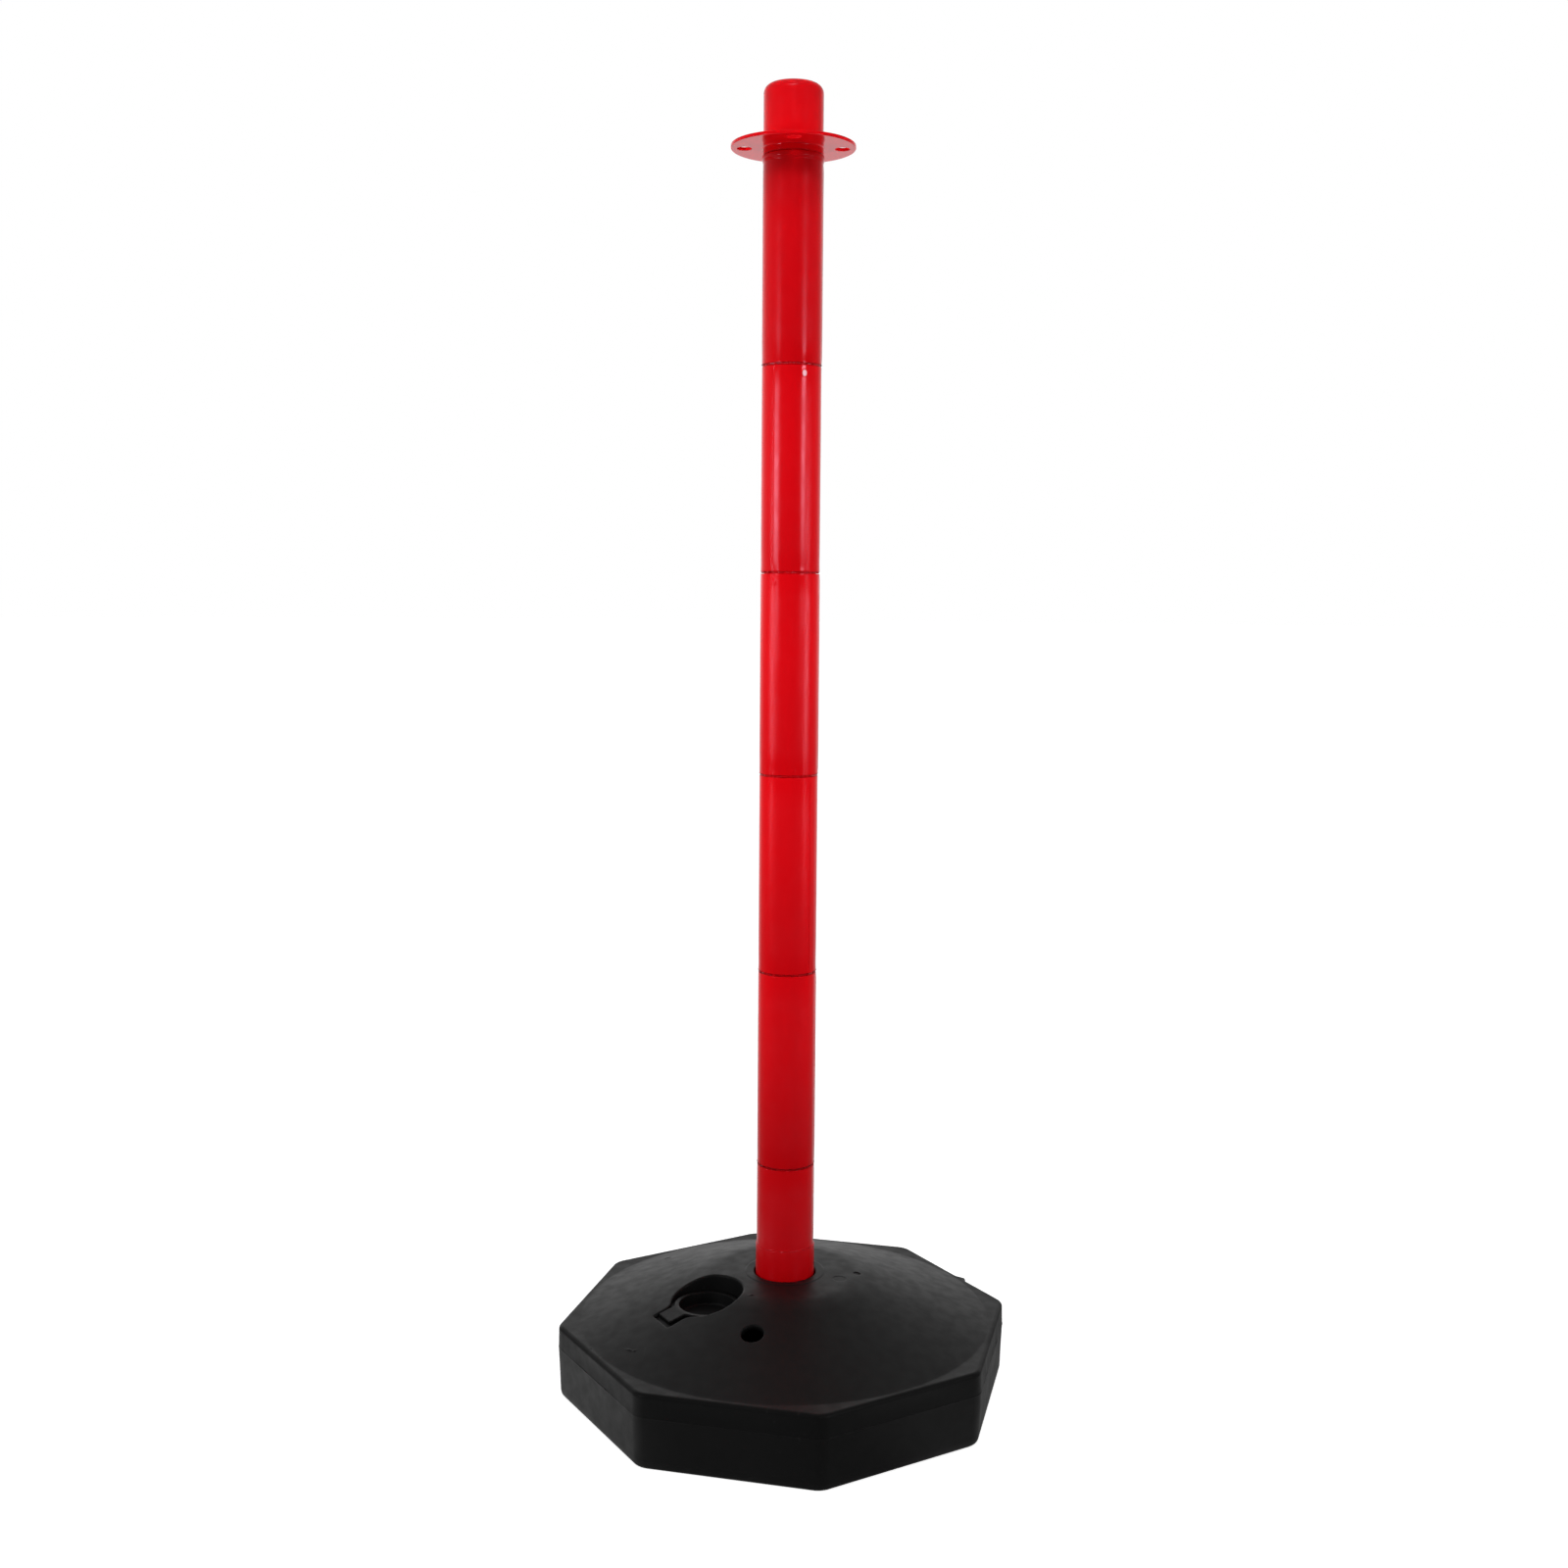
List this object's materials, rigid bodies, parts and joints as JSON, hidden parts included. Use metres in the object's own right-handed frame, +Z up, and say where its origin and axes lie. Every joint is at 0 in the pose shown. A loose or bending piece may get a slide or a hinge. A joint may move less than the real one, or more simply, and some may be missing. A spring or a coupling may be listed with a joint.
{
  "type": "chain barrier post with fillable base",
  "caption": "Sectional red plastic chain post pushed into a black octagonal base that is filled with water or sand, with a flanged cap that has eyes for chain hooks.",
  "frame": {"origin": "on the floor, on the post's axis", "axes": "+Z up along the post; the base's flats face along X, Y and their diagonals; the vent hole lies on the -Y side and the filler pocket between -X and -Y"},
  "size_m": [0.2966, 0.2966, 0.891],
  "materials": {
    "red_plastic": "semi-gloss injection moulded, with faint flow marks and a mould seam",
    "black_plastic": "satin blow moulded, with a flash line round the sides"
  },
  "bodies": {
    "base": {"base_tank": "black_plastic"},
    "bung": {"filler_bung": "black_plastic"},
    "post_foot": {"post_foot_section": "red_plastic"},
    "section_2": {"post_section_2": "red_plastic"},
    "section_3": {"post_section_3": "red_plastic"},
    "section_4": {"post_section_4": "red_plastic"},
    "section_5": {"post_section_5": "red_plastic"},
    "section_6": {"post_top_section": "red_plastic"},
    "cap": {"chain_cap": "red_plastic"}
  },
  "joints": [
    {"name": "bung_lift", "type": "slide", "parent": "base", "child": "bung", "axis": [0, 0, 1], "range_m": [0, 0.03]},
    {"name": "post_lift", "type": "slide", "parent": "base", "child": "post_foot", "axis": [0, 0, 1], "range_m": [0, 0.08]},
    {"name": "section_2_lift", "type": "slide", "parent": "post_foot", "child": "section_2", "axis": [0, 0, 1], "range_m": [0, 0.03]},
    {"name": "section_3_lift", "type": "slide", "parent": "section_2", "child": "section_3", "axis": [0, 0, 1], "range_m": [0, 0.03]},
    {"name": "section_4_lift", "type": "slide", "parent": "section_3", "child": "section_4", "axis": [0, 0, 1], "range_m": [0, 0.03]},
    {"name": "section_5_lift", "type": "slide", "parent": "section_4", "child": "section_5", "axis": [0, 0, 1], "range_m": [0, 0.03]},
    {"name": "section_6_lift", "type": "slide", "parent": "section_5", "child": "section_6", "axis": [0, 0, 1], "range_m": [0, 0.03]},
    {"name": "cap_lift", "type": "slide", "parent": "section_6", "child": "cap", "axis": [0, 0, 1], "range_m": [0, 0.03]}
  ]
}
